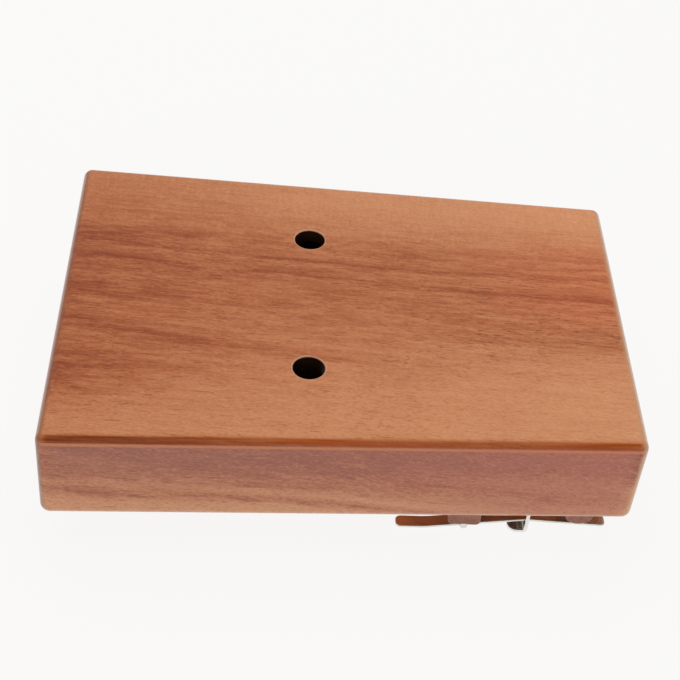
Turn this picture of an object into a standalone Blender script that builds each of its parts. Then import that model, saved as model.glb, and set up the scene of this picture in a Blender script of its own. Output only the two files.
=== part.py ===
# Seventeen-tine box kalimba, lying face down: the back of the box is up, the tines are below.
# Metres, +Z up. +X runs from the wide end to the bridge end, and the player's left is -Y.

from math import acos, asin, atan, atan2, cos, hypot, pi, radians, sin, tan

import bmesh
import bpy
from mathutils import Matrix, Vector

for old in list(bpy.data.objects):
    bpy.data.objects.remove(old, do_unlink=True)

# Sound box
BODY_LENGTH = 0.185
WIDE_END = 0.1345
NARROW_END = 0.1187
BODY_DEPTH = 0.0346
CORNER_RADIUS = 0.004
EDGE_RADIUS = 0.0038
WALL = 0.009
BACK_THICKNESS = 0.005
LEDGE = 0.0035
INNER_CORNER_RADIUS = 0.003

# Two finger holes in the back
FINGER_HOLE_DIAMETER = 0.0102
FINGER_HOLE_X = -0.0119
FINGER_HOLE_SPACING = 0.0635
HOLE_LIP = 0.0005

# Soundboard, let into the front of the box
BOARD_THICKNESS = 0.004
SOUND_HOLE_DIAMETER = 0.036
SOUND_HOLE_LIP = 0.0012
SOUND_HOLE_FROM_TIP = 0.0119

# Places along the box, counted from its narrow end
TAIL_MARGIN = 0.0062
TAIL_OVERHANG = 0.0093
BAR_TO_BACK_BRIDGE = 0.0165
ROD_TO_BAR = 0.0203
SIDE_MARGIN = 0.0031

# Bridges and saddle rod; heights are measured out from the soundboard
FRONT_BRIDGE_WIDTH = 0.0105
FRONT_BRIDGE_HEIGHT = 0.0061
FRONT_BRIDGE_ROUND = 0.0016
BACK_BRIDGE_WIDTH = 0.009
BACK_BRIDGE_HEIGHT = 0.0053
BACK_BRIDGE_SIDE = 0.0018
ROD_DIAMETER = 0.0026
ROD_SINK = 0.0009
ROD_CHAMFER = 0.0003

# Pressure bar, a bent strip whose web holds the tines down
BAR_HEIGHT = 0.0095
BAR_WIDTH = 0.0064
BAR_THICKNESS = 0.0012
BAR_BEND_RADIUS = 0.0004
BAR_CORNER_RADIUS = 0.003
LUG_WIDTH = 0.0014

# Screws of the pressure bar, and the block inside the box that they bite in
SCREW_GAPS = (-6.5, -2.5, 2.5, 6.5)
SCREW_HEAD_DIAMETER = 0.0042
SCREW_HEAD_HEIGHT = 0.002
SCREW_HEAD_ROUND = 0.0009
SCREW_BITE = 0.006
SCREW_POINT = 0.0018
BLOCK_WIDTH = 0.018
BLOCK_THICKNESS = 0.008

# Tines, tuned to a diatonic scale that rises from the middle and alternates left and right
TINES_EACH_SIDE = 8
SCALE_STEPS = (0, 2, 4, 5, 7, 9, 11)
LONGEST_TINE = 0.0453
TINE_WIDTH = 0.0041
TINE_TIP_WIDTH = 0.0045
TINE_TIP_ROUND = 0.0018
TINE_TAIL_ROUND = 0.0006
TINE_THICKNESS = 0.001
PRESSED_HEIGHT = 0.0048
PRESS_BEND_RADIUS = 0.004
RISE_LENGTH = 0.012
RISE_BEND_RADIUS = 0.03
TIP_SLOPE = radians(1.6)

# Clearance between touching pieces, and how far a cutter runs past the wall it cuts
CLEARANCE = 0.0003
PAST = 0.001

ARC_STEPS = 6
ROUND_STEPS = 32
SCREW_STEPS = 16

# Stations along the box
tail_x = BODY_LENGTH / 2 - TAIL_MARGIN
back_bridge_x = tail_x - TAIL_OVERHANG
web_x = back_bridge_x - BAR_TO_BACK_BRIDGE
rod_x = web_x - ROD_TO_BAR
bar_tail_x = web_x + BAR_THICKNESS / 2
bar_tip_x = bar_tail_x - BAR_WIDTH
web_inner_x = bar_tail_x - BAR_THICKNESS
screw_x = (bar_tip_x + web_inner_x) / 2

# Heights out from the soundboard, and the slopes of a tine on both sides of the bar
rod_radius = ROD_DIAMETER / 2
rod_height = FRONT_BRIDGE_HEIGHT - ROD_SINK + rod_radius
press_to_rod = hypot(ROD_TO_BAR, rod_height - PRESSED_HEIGHT)
blade_slope = (atan2(rod_height - PRESSED_HEIGHT, ROD_TO_BAR)
               + asin((rod_radius + CLEARANCE) / press_to_rod))
tail_slope = atan((BACK_BRIDGE_HEIGHT + CLEARANCE - PRESSED_HEIGHT) / BAR_TO_BACK_BRIDGE)
web_edge_height = (PRESSED_HEIGHT + (web_x - web_inner_x) * tan(blade_slope)
                   + TINE_THICKNESS / cos(blade_slope) + CLEARANCE)


def half_width(x):
    """Half the width of the box at x."""
    share = x / BODY_LENGTH + 0.5
    return (WIDE_END + (NARROW_END - WIDE_END) * share) / 2


def bridge_reach(x):
    """How far a rail or bar that crosses the front at x reaches to each side."""
    return half_width(x) - SIDE_MARGIN


bar_reach = bridge_reach(web_x)
outer_tine_edge = bar_reach - LUG_WIDTH - CLEARANCE
tine_pitch = (outer_tine_edge - TINE_WIDTH / 2) / TINES_EACH_SIDE
screw_diameter = tine_pitch - TINE_WIDTH - 2 * CLEARANCE
screw_hole_radius = screw_diameter / 2 + CLEARANCE


# Outlines

def arc(centre, radius, start, end, steps):
    """Points on an arc from one angle to another."""
    angles = [start + (end - start) * i / steps for i in range(steps + 1)]
    return [(centre[0] + radius * cos(a), centre[1] + radius * sin(a)) for a in angles]


def fillet(before, corner, after, radius, steps=ARC_STEPS):
    """Points that round one corner of a line; a radius of zero keeps the corner."""
    corner = Vector(corner)
    if radius <= 0:
        return [tuple(corner)]
    inward = (Vector(before) - corner).normalized()
    outward = (Vector(after) - corner).normalized()
    bisector = (inward + outward).normalized()
    half = inward.angle(outward) / 2
    centre = corner + bisector * (radius / sin(half))
    start = corner + inward * (radius / tan(half)) - centre
    end = corner + outward * (radius / tan(half)) - centre
    first = atan2(start.y, start.x)
    sweep = (atan2(end.y, end.x) - first + pi) % (2 * pi) - pi
    return arc(centre, radius, first, first + sweep, steps)


def rounded_outline(corners):
    """A closed outline from (x, y, radius) corners."""
    points = []
    for i, (x, y, radius) in enumerate(corners):
        after = corners[(i + 1) % len(corners)][:2]
        points += fillet(corners[i - 1][:2], (x, y), after, radius)
    return points


def rounded_path(corners):
    """An open line from (x, y, radius) corners."""
    points = [corners[0][:2]]
    for before, (x, y, radius), after in zip(corners, corners[1:], corners[2:]):
        points += fillet(before[:2], (x, y), after[:2], radius)
    return points + [corners[-1][:2]]


def strip_outline(path, thickness):
    """The closed outline of a strip that lies on one side of a line."""
    points = [Vector(p) for p in path]
    outer = []
    for i, point in enumerate(points):
        along = points[min(i + 1, len(points) - 1)] - points[max(i - 1, 0)]
        across = Vector((along.y, -along.x)).normalized()
        outer.append(tuple(point + across * thickness))
    return path + outer[::-1]


def box_outline(inset, radius):
    """The plan of the box, drawn in by inset on all sides."""
    lean = atan((WIDE_END - NARROW_END) / 2 / BODY_LENGTH)
    end = BODY_LENGTH / 2 - inset
    wide = half_width(-end) - inset / cos(lean)
    narrow = half_width(end) - inset / cos(lean)
    return rounded_outline([(-end, -wide, radius), (end, -narrow, radius),
                            (end, narrow, radius), (-end, wide, radius)])


def tine_path(length):
    """The side of a tine that faces the soundboard, as (x, height), from tail to tip."""
    tail = tail_x + PAST
    bend = rod_x - RISE_LENGTH
    tip = rod_x - length - PAST
    bend_height = PRESSED_HEIGHT + (web_x - bend) * tan(blade_slope)
    return rounded_path([
        (tail, PRESSED_HEIGHT + (tail - web_x) * tan(tail_slope), 0),
        (web_x, PRESSED_HEIGHT, PRESS_BEND_RADIUS),
        (bend, bend_height, RISE_BEND_RADIUS),
        (tip, bend_height + (bend - tip) * tan(TIP_SLOPE), 0),
    ])


# The longest tine reaches lowest, so its tip sets how high the box stands
tip_overrun = PAST * tan(TIP_SLOPE)
front_z = tine_path(LONGEST_TINE)[-1][1] - tip_overrun + TINE_THICKNESS * cos(TIP_SLOPE)
back_z = front_z + BODY_DEPTH


def z_at(height):
    """The world height of a point this far out from the soundboard."""
    return front_z - height


# Objects

parts = bpy.data.collections.new("kalimba")
cutters = bpy.data.collections.new("cutters")
for collection in (parts, cutters):
    bpy.context.scene.collection.children.link(collection)


def finish(name, colour, roughness, metallic=0.0):
    """A material for one kind of piece."""
    material = bpy.data.materials.new(name)
    material.use_nodes = True
    shader = material.node_tree.nodes["Principled BSDF"]
    shader.inputs["Base Color"].default_value = (*colour, 1.0)
    shader.inputs["Roughness"].default_value = roughness
    shader.inputs["Metallic"].default_value = metallic
    return material


body_wood = finish("body_wood", (0.36, 0.155, 0.075), 0.3)
board_wood = finish("board_wood", (0.39, 0.18, 0.09), 0.3)
block_wood = finish("block_wood", (0.45, 0.27, 0.15), 0.7)
bridge_wood = finish("bridge_wood", (0.3, 0.13, 0.075), 0.45)
rod_steel = finish("rod_steel", (0.62, 0.61, 0.58), 0.12, 1.0)
bar_steel = finish("bar_steel", (0.6, 0.59, 0.56), 0.18, 1.0)
screw_steel = finish("screw_steel", (0.58, 0.57, 0.55), 0.2, 1.0)
tine_steel = finish("tine_steel", (0.6, 0.58, 0.54), 0.15, 1.0)


def add_part(name, mesh, material):
    """A visible piece of the kalimba."""
    part = bpy.data.objects.new(name, mesh)
    part.data.materials.append(material)
    part.data.shade_smooth()
    part.data.set_sharp_from_angle(angle=radians(32))
    parts.objects.link(part)
    return part


def add_cutter(name, mesh):
    """A solid that only cuts or trims others."""
    cutter = bpy.data.objects.new(name, mesh)
    cutter.display_type = "WIRE"
    cutter.hide_render = True
    cutters.objects.link(cutter)
    return cutter


def boolean(part, cutter, operation="DIFFERENCE"):
    """Cut a part by a cutter, or trim it to one."""
    modifier = part.modifiers.new(cutter.name, "BOOLEAN")
    modifier.operation = operation
    modifier.solver = "EXACT"
    modifier.object = cutter


def extruded(name, outlines, thickness, place):
    """A mesh from a flat curve with holes, extruded to a thickness about its plane."""
    curve = bpy.data.curves.new(name, "CURVE")
    curve.dimensions = "2D"
    curve.fill_mode = "BOTH"
    curve.extrude = thickness / 2
    for outline in outlines:
        spline = curve.splines.new("POLY")
        spline.points.add(len(outline) - 1)
        for point, (x, y) in zip(spline.points, outline):
            point.co = (x, y, 0, 1)
        spline.use_cyclic_u = True
    drawn = bpy.data.objects.new(name, curve)
    parts.objects.link(drawn)
    evaluated = drawn.evaluated_get(bpy.context.evaluated_depsgraph_get())
    mesh = bpy.data.meshes.new_from_object(evaluated)
    bpy.data.objects.remove(drawn, do_unlink=True)
    bpy.data.curves.remove(curve)
    mesh.name = name
    shape = bmesh.new()
    shape.from_mesh(mesh)
    bmesh.ops.remove_doubles(shape, verts=shape.verts, dist=1e-6)
    if len(outlines) == 1:
        bmesh.ops.dissolve_limit(shape, angle_limit=1e-3, verts=shape.verts, edges=shape.edges)
    bmesh.ops.transform(shape, matrix=place, verts=shape.verts)
    bmesh.ops.recalc_face_normals(shape, faces=shape.faces)
    shape.to_mesh(mesh)
    shape.free()
    return mesh


def flat_plate(name, outlines, low_z, high_z):
    """A plan outline between two world heights."""
    place = Matrix.Translation((0, 0, (low_z + high_z) / 2))
    return extruded(name, outlines, high_z - low_z, place)


def cross_rail(name, outline, reach, y=0.0):
    """An (x, height) profile run across the box, reaching as far to each side of y."""
    profile = [(x, z_at(height)) for x, height in outline]
    place = Matrix.Translation((0, y, 0)) @ Matrix.Rotation(pi / 2, 4, "X")
    return extruded(name, [profile], 2 * reach, place)


def profile_mesh(name, profile):
    """A line of (radius, z) points, top to bottom, to be turned."""
    mesh = bpy.data.meshes.new(name)
    points = [(radius, 0, z) for radius, z in profile]
    mesh.from_pydata(points, [(i, i + 1) for i in range(len(points) - 1)], [])
    return mesh


def turn(piece, steps):
    """Turn a piece's profile about its own Z axis."""
    modifier = piece.modifiers.new("turn", "SCREW")
    modifier.steps = steps
    modifier.render_steps = steps
    modifier.use_merge_vertices = True
    modifier.merge_threshold = 1e-5
    modifier.use_smooth_shade = True


def circle(x, y, radius, steps):
    """A round outline."""
    return arc((x, y), radius, 0, 2 * pi * (steps - 1) / steps, steps - 1)


def lipped_hole(name, x, y, radius, lip, depth):
    """A hole cutter with a rounded lip; its own z = 0 is the face that the lip is on."""
    lip_arc = arc((radius + lip, -lip), lip, pi / 2, pi, ARC_STEPS)
    profile = [(0, PAST), (radius + lip, PAST), *lip_arc, (radius, -depth), (0, -depth)]
    cutter = add_cutter(name, profile_mesh(name, profile))
    turn(cutter, ROUND_STEPS)
    cutter.location = (x, y, 0)
    return cutter


def screw_places():
    """The y of each screw, in a gap between two tines."""
    return [gap * tine_pitch for gap in SCREW_GAPS]


# Pieces

def build_body_shell():
    """The routed box: back and sides in one, with a ledge round its front."""
    rim = WALL - LEDGE
    outside = flat_plate("body_shell", [box_outline(0, CORNER_RADIUS)], front_z, back_z)
    shell = add_part("body_shell", outside, body_wood)
    edge = shell.modifiers.new("rounded_edges", "BEVEL")
    edge.width = min(EDGE_RADIUS, rim, CORNER_RADIUS)
    edge.segments = 5
    edge.limit_method = "ANGLE"
    edge.angle_limit = radians(50)

    ledge_z = front_z + BOARD_THICKNESS + CLEARANCE
    inner = box_outline(WALL, INNER_CORNER_RADIUS)
    hollow = flat_plate("chamber", [inner], front_z - PAST, back_z - BACK_THICKNESS)
    boolean(shell, add_cutter("chamber", hollow))
    seat = flat_plate("board_seat", [box_outline(rim, INNER_CORNER_RADIUS)], front_z - PAST, ledge_z)
    boolean(shell, add_cutter("board_seat", seat))
    for side in (-1, 1):
        name = "finger_hole_left" if side < 0 else "finger_hole_right"
        y = side * FINGER_HOLE_SPACING / 2
        hole = lipped_hole(name, FINGER_HOLE_X, y, FINGER_HOLE_DIAMETER / 2, HOLE_LIP,
                           BACK_THICKNESS + PAST)
        hole.location.z = back_z
        boolean(shell, hole)


def build_soundboard():
    """The front plate, with its sound hole just past the longest tine's tip."""
    outline = box_outline(WALL - LEDGE + CLEARANCE, INNER_CORNER_RADIUS)
    holes = [circle(screw_x, y, screw_hole_radius, SCREW_STEPS) for y in screw_places()]
    plate = flat_plate("soundboard", [outline, *holes], front_z, front_z + BOARD_THICKNESS)
    board = add_part("soundboard", plate, board_wood)
    radius = SOUND_HOLE_DIAMETER / 2
    hole_x = rod_x - LONGEST_TINE - SOUND_HOLE_FROM_TIP - radius
    hole = lipped_hole("sound_hole", hole_x, 0, radius, SOUND_HOLE_LIP, BOARD_THICKNESS + PAST)
    hole.rotation_euler.x = pi
    hole.location.z = front_z
    boolean(board, hole)


def build_bridge_block():
    """The hardwood brace under the soundboard that the bar's screws bite in."""
    low_z = front_z + BOARD_THICKNESS + CLEARANCE
    ends = [screw_x - BLOCK_WIDTH / 2, screw_x + BLOCK_WIDTH / 2]
    reach = [half_width(x) - WALL - 2 * CLEARANCE for x in ends]
    outline = [(ends[0], -reach[0]), (ends[1], -reach[1]), (ends[1], reach[1]), (ends[0], reach[0])]
    holes = [circle(screw_x, y, screw_hole_radius, SCREW_STEPS) for y in screw_places()]
    block = flat_plate("bridge_block", [outline, *holes], low_z, low_z + BLOCK_THICKNESS)
    add_part("bridge_block", block, block_wood)


def build_front_bridge():
    """The wooden rail under the tines, grooved for the saddle rod."""
    half = FRONT_BRIDGE_WIDTH / 2
    groove_radius = rod_radius + CLEARANCE
    opening = acos((rod_height - FRONT_BRIDGE_HEIGHT) / groove_radius)
    groove = arc((rod_x, rod_height), groove_radius, -pi / 2 - opening, -pi / 2 + opening, 2 * ARC_STEPS)
    foot_tip = (rod_x - half, CLEARANCE)
    foot_tail = (rod_x + half, CLEARANCE)
    top_tip = (rod_x - half, FRONT_BRIDGE_HEIGHT)
    top_tail = (rod_x + half, FRONT_BRIDGE_HEIGHT)
    outline = [
        foot_tip,
        *fillet(foot_tip, top_tip, groove[0], FRONT_BRIDGE_ROUND),
        *groove,
        *fillet(groove[-1], top_tail, foot_tail, FRONT_BRIDGE_ROUND),
        foot_tail,
    ]
    rail = cross_rail("front_bridge", outline, bridge_reach(rod_x))
    add_part("front_bridge", rail, bridge_wood)


def build_saddle_rod():
    """The round steel rod that the tines bear on."""
    mesh = bpy.data.meshes.new("saddle_rod")
    shape = bmesh.new()
    place = Matrix.Translation((rod_x, 0, z_at(rod_height))) @ Matrix.Rotation(pi / 2, 4, "X")
    bmesh.ops.create_cone(shape, cap_ends=True, segments=ROUND_STEPS, radius1=rod_radius,
                          radius2=rod_radius, depth=2 * bridge_reach(rod_x), matrix=place)
    shape.to_mesh(mesh)
    shape.free()
    rod = add_part("saddle_rod", mesh, rod_steel)
    edge = rod.modifiers.new("chamfer", "BEVEL")
    edge.width = ROD_CHAMFER
    edge.limit_method = "ANGLE"
    edge.angle_limit = radians(50)


def build_back_bridge():
    """The domed wooden rail under the tails of the tines."""
    half = BACK_BRIDGE_WIDTH / 2
    dome = [(back_bridge_x + half * x, BACK_BRIDGE_SIDE + (BACK_BRIDGE_HEIGHT - BACK_BRIDGE_SIDE) * y)
            for x, y in arc((0, 0), 1, pi, 0, 2 * ARC_STEPS)]
    outline = [(back_bridge_x - half, CLEARANCE), *dome, (back_bridge_x + half, CLEARANCE)]
    rail = cross_rail("back_bridge", outline, bridge_reach(back_bridge_x))
    add_part("back_bridge", rail, bridge_wood)


def build_pressure_bar():
    """The bent strip across the tines, with a lug at each end that stands on the front."""
    inside = BAR_BEND_RADIUS
    outside = BAR_BEND_RADIUS + BAR_THICKNESS
    flange_inner = BAR_HEIGHT - BAR_THICKNESS
    bent = rounded_outline([
        (bar_tip_x - PAST, BAR_HEIGHT, 0),
        (bar_tail_x, BAR_HEIGHT, outside),
        (bar_tail_x, CLEARANCE, 0),
        (web_inner_x, CLEARANCE, 0),
        (web_inner_x, flange_inner, inside),
        (bar_tip_x - PAST, flange_inner, 0),
    ])
    bar = add_part("pressure_bar", cross_rail("pressure_bar", bent, bar_reach + PAST), bar_steel)

    far_x = bar_tail_x + PAST
    plan = rounded_outline([
        (bar_tip_x, -bar_reach, BAR_CORNER_RADIUS), (far_x, -bar_reach, 0),
        (far_x, bar_reach, 0), (bar_tip_x, bar_reach, BAR_CORNER_RADIUS)])
    trim = flat_plate("bar_plan", [plan], z_at(BAR_HEIGHT + PAST), z_at(CLEARANCE - PAST))
    boolean(bar, add_cutter("bar_plan", trim), "INTERSECT")

    passage_reach = bar_reach - LUG_WIDTH
    passage = [(web_inner_x - PAST, -passage_reach), (far_x, -passage_reach),
               (far_x, passage_reach), (web_inner_x - PAST, passage_reach)]
    cut = flat_plate("tine_passage", [passage], z_at(web_edge_height), z_at(CLEARANCE - PAST))
    boolean(bar, add_cutter("tine_passage", cut))

    holes = [circle(screw_x, y, screw_hole_radius, SCREW_STEPS) for y in screw_places()]
    for i, hole in enumerate(holes):
        name = f"bar_hole_{i + 1}"
        drill = flat_plate(name, [hole], z_at(BAR_HEIGHT + PAST), z_at(flange_inner - PAST))
        boolean(bar, add_cutter(name, drill))


def build_screws():
    """Four pan-head screws that draw the bar down, heads below."""
    seat = BAR_HEIGHT + CLEARANCE
    crown = seat + SCREW_HEAD_HEIGHT
    tip = -BOARD_THICKNESS - CLEARANCE - SCREW_BITE
    head_radius = SCREW_HEAD_DIAMETER / 2
    shank_radius = screw_diameter / 2
    head_round = arc((head_radius - SCREW_HEAD_ROUND, -crown + SCREW_HEAD_ROUND), SCREW_HEAD_ROUND,
                     0, -pi / 2, ARC_STEPS)
    profile = [(0, -tip), (shank_radius, -tip - SCREW_POINT), (shank_radius, -seat),
               (head_radius, -seat), *head_round, (0, -crown)]
    for i, y in enumerate(screw_places()):
        name = f"bar_screw_{i + 1}"
        screw = add_part(name, profile_mesh(name, profile), screw_steel)
        turn(screw, SCREW_STEPS)
        screw.location = (screw_x, y, front_z)


def semitones(place):
    """How far a tine sounds above the middle one; place counts from the middle."""
    note = 2 * place if place >= 0 else -2 * place - 1
    octave, step = divmod(note, len(SCALE_STEPS))
    return 12 * octave + SCALE_STEPS[step]


def build_tine(place):
    """One tine: its side profile run across its width, then trimmed to its plan."""
    length = LONGEST_TINE * 2 ** (-semitones(place) / 24)
    y = place * tine_pitch
    tip_x = rod_x - length
    name = f"tine_{place + TINES_EACH_SIDE + 1:02d}"
    side = strip_outline(tine_path(length), TINE_THICKNESS)
    blade = cross_rail(name, side, TINE_TIP_WIDTH / 2 + PAST, y)
    tine = add_part(name, blade, tine_steel)

    tail = TINE_WIDTH / 2
    tip = TINE_TIP_WIDTH / 2
    plan = rounded_outline([
        (tail_x, y - tail, TINE_TAIL_ROUND), (tail_x, y + tail, TINE_TAIL_ROUND),
        (rod_x, y + tail, 0), (tip_x, y + tip, TINE_TIP_ROUND),
        (tip_x, y - tip, TINE_TIP_ROUND), (rod_x, y - tail, 0)])
    trim = flat_plate(f"{name}_plan", [plan], -PAST, front_z)
    boolean(tine, add_cutter(f"{name}_plan", trim), "INTERSECT")

    pivot = Vector((rod_x, y, z_at(rod_height + rod_radius)))
    tine.data.transform(Matrix.Translation(-pivot))
    tine.location = pivot


build_body_shell()
build_soundboard()
build_bridge_block()
build_front_bridge()
build_saddle_rod()
build_back_bridge()
build_pressure_bar()
build_screws()
for tine_place in range(-TINES_EACH_SIDE, TINES_EACH_SIDE + 1):
    build_tine(tine_place)
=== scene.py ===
import math
import bmesh
import bpy
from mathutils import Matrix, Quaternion, Vector


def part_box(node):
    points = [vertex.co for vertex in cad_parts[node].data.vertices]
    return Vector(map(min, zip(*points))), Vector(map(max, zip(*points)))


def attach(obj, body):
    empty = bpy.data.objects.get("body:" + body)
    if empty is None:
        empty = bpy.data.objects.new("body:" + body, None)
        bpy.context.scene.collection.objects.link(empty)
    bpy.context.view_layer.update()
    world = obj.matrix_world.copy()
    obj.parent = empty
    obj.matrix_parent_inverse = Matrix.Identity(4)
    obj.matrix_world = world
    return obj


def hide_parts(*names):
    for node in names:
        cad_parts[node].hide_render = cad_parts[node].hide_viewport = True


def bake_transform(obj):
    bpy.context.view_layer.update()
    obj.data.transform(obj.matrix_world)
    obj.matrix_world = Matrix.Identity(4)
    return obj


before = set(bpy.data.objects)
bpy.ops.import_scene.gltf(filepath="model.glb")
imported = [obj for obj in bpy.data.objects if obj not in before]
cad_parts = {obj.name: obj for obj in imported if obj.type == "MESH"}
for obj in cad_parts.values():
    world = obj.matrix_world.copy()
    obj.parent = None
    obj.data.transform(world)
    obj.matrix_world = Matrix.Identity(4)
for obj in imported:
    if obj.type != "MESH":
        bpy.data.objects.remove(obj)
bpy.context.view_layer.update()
scene = bpy.context.scene


# mesh helpers, all in metres and in the frame of the CAD part

overshoot = 0.002  # a cutter reaches this far past what it cuts
hair = 1e-5  # far below any size of the object


def roundedPath(corners, steps=12, closed=True):
    points, count = [], len(corners)
    for i, (x, y, radius) in enumerate(corners):
        corner = Vector((x, y))
        if radius <= 0 or (not closed and i in (0, count - 1)):
            points.append(corner)
            continue
        before = (Vector(corners[i - 1][:2]) - corner).normalized()
        after = (Vector(corners[(i + 1) % count][:2]) - corner).normalized()
        half = before.angle(after) / 2
        centre = corner + (before + after).normalized() * radius / math.sin(half)
        start = corner + before * radius / math.tan(half) - centre
        end = corner + after * radius / math.tan(half) - centre
        sweep = math.pi - 2 * half
        for k in range(steps + 1):
            t = k / steps
            turn = start * math.sin((1 - t) * sweep) + end * math.sin(t * sweep)
            points.append(centre + turn / math.sin(sweep))
    return points


def prism(outline, low, high, place):
    bm = bmesh.new()
    rings = [[bm.verts.new(place(p.x, p.y, w)) for p in outline] for w in (low, high)]
    bm.faces.new(rings[0][::-1])
    bm.faces.new(rings[1])
    for i in range(len(outline)):
        bm.faces.new((rings[0][i - 1], rings[0][i], rings[1][i], rings[1][i - 1]))
    bmesh.ops.recalc_face_normals(bm, faces=bm.faces)
    return bm


def loft(rings):
    bm = bmesh.new()
    loops = [[bm.verts.new(point) for point in ring] for ring in rings]
    for a, b in zip(loops, loops[1:]):
        for k in range(max(len(a), len(b))):
            corners = (a[k % len(a)], a[(k + 1) % len(a)], b[(k + 1) % len(b)], b[k % len(b)])
            corners = list(dict.fromkeys(corners))  # a ring of one point makes triangles
            if len(corners) > 2:
                bm.faces.new(corners)
    for loop in (loops[0], loops[-1]):
        if len(loop) > 2:
            bm.faces.new(loop)
    bmesh.ops.recalc_face_normals(bm, faces=bm.faces)
    return bm


def circle(radius, along, sides, place):
    angles = [2 * math.pi * k / sides for k in range(sides if radius > 0 else 1)]
    return [place(radius * math.cos(a), radius * math.sin(a), along) for a in angles]


def lathe(profile, sides, place):
    return loft([circle(radius, along, sides, place) for radius, along in profile])


def quarterRound(centreU, centreV, radius, startDeg, endDeg, steps=6):
    angles = [math.radians(startDeg + (endDeg - startDeg) * k / steps) for k in range(steps + 1)]
    return [(centreU + radius * math.cos(a), centreV + radius * math.sin(a)) for a in angles]


def bevelEdges(bm, width, segments, wanted):
    edges = [edge for edge in bm.edges if wanted(*[v.co for v in edge.verts])]
    bmesh.ops.bevel(bm, geom=edges, offset=width, offset_type="OFFSET", segments=segments,
                    profile=0.5, affect="EDGES", clamp_overlap=True)


def meshObject(name, bm):
    mesh = bpy.data.meshes.new(name)
    bm.to_mesh(mesh)
    bm.free()
    piece = bpy.data.objects.new(name, mesh)
    scene.collection.objects.link(piece)
    return piece


def applyModifiers(piece):
    bpy.context.view_layer.update()
    shaped = piece.evaluated_get(bpy.context.evaluated_depsgraph_get())
    mesh, old = bpy.data.meshes.new_from_object(shaped), piece.data
    piece.modifiers.clear()
    piece.data = mesh
    bpy.data.meshes.remove(old)
    mesh.name = piece.name


def carve(piece, cutters, operation="DIFFERENCE"):
    for bm in cutters:
        tool = meshObject("cutter", bm)
        step = piece.modifiers.new("carve", "BOOLEAN")
        step.operation, step.solver, step.object = operation, "EXACT", tool
        applyModifiers(piece)
        bpy.data.objects.remove(tool)


def softenEdges(piece, width, segments=3, angle=40):
    step = piece.modifiers.new("soften", "BEVEL")
    step.width, step.segments = width, segments
    step.limit_method, step.angle_limit = "ANGLE", math.radians(angle)
    step.use_clamp_overlap = True
    applyModifiers(piece)


def smoothShade(piece, angle=34):
    piece.data.shade_smooth()
    piece.data.set_sharp_from_angle(angle=math.radians(angle))
    step = piece.modifiers.new("evenNormals", "WEIGHTED_NORMAL")
    step.keep_sharp = True
    applyModifiers(piece)


def dress(piece, material, slotName, *nodes):
    piece.data.materials.clear()
    piece.data.materials.append(material)
    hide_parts(*nodes)


# shader helpers

def addNode(tree, kind, inputs=None, **settings):
    node = tree.nodes.new("ShaderNode" + kind)
    for key, value in settings.items():
        setattr(node, key, value)
    for key, value in (inputs or {}).items():
        if isinstance(value, bpy.types.NodeSocket):
            tree.links.new(value, node.inputs[key])
        else:
            node.inputs[key].default_value = value
    return node


def calc(tree, operation, first, second=0.0, third=0.0, clamp=False):
    values = {0: first, 1: second, 2: third}
    return addNode(tree, "Math", values, operation=operation, use_clamp=clamp).outputs[0]


def remap(tree, value, fromLow, fromHigh, toLow, toHigh, kind="LINEAR", clamp=True):
    values = {0: value, 1: fromLow, 2: fromHigh, 3: toLow, 4: toHigh}
    return addNode(tree, "MapRange", values, interpolation_type=kind, clamp=clamp).outputs[0]


def smooth(tree, value, span, low=0.0, high=1.0):
    return remap(tree, value, *span, low, high, "SMOOTHSTEP")


def times(tree, first, *others):
    for other in others:
        first = calc(tree, "MULTIPLY", first, other)
    return first


def less(tree, first, second):
    return calc(tree, "SUBTRACT", first, second)


def plusShare(tree, total, value, share):
    return calc(tree, "MULTIPLY_ADD", value, share, total)


def mixValue(tree, factor, first, second):
    return addNode(tree, "Mix", {0: factor, 2: first, 3: second}, data_type="FLOAT").outputs[0]


def mixColor(tree, factor, first, second, blend="MIX"):
    values = {0: factor, 6: first, 7: second}
    return addNode(tree, "Mix", values, data_type="RGBA", blend_type=blend).outputs[2]


def noise(tree, vector, stretch, detail=2.0, roughness=0.5):
    scaled = addNode(tree, "VectorMath", {0: vector, 1: stretch}, operation="MULTIPLY").outputs[0]
    values = {"Vector": scaled, "Scale": 1.0, "Detail": detail, "Roughness": roughness}
    return addNode(tree, "TexNoise", values).outputs["Fac"]


def unevenness(tree, vector, *texture):
    return less(tree, noise(tree, vector, *texture), 0.5)


def newGroup(name, inputs, outputs):
    tree = bpy.data.node_groups.new(name, "ShaderNodeTree")
    for label, kind, value in inputs:
        socket = tree.interface.new_socket(label, in_out="INPUT", socket_type="NodeSocket" + kind)
        if value is not None:
            socket.default_value = value
    for label, kind in outputs:
        tree.interface.new_socket(label, in_out="OUTPUT", socket_type="NodeSocket" + kind)
    return tree, tree.nodes.new("NodeGroupInput").outputs, tree.nodes.new("NodeGroupOutput").inputs


def useGroup(tree, group, inputs):
    return addNode(tree, "Group", inputs, node_tree=group).outputs


def newMaterial(name, constants):
    material = bpy.data.materials.new(name)
    material.use_nodes = True
    tree = material.node_tree
    shader = tree.nodes["Principled BSDF"]
    for key, value in constants.items():
        shader.inputs[key].default_value = value
    return material, tree, shader


bumpDistance = 0.0001


def addBump(tree, shader, height, strength):
    bump = addNode(tree, "Bump", {"Height": height, "Strength": strength, "Distance": bumpDistance})
    tree.links.new(bump.outputs[0], shader.inputs["Normal"])


def millimetres(tree):
    place = addNode(tree, "TexCoord").outputs["Object"]
    return addNode(tree, "VectorMath", {0: place, 1: (1000, 1000, 1000)}, operation="MULTIPLY").outputs[0]


# shared effects: the grain and the streaks of the woods, the brushing and handling marks of the metals

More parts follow.
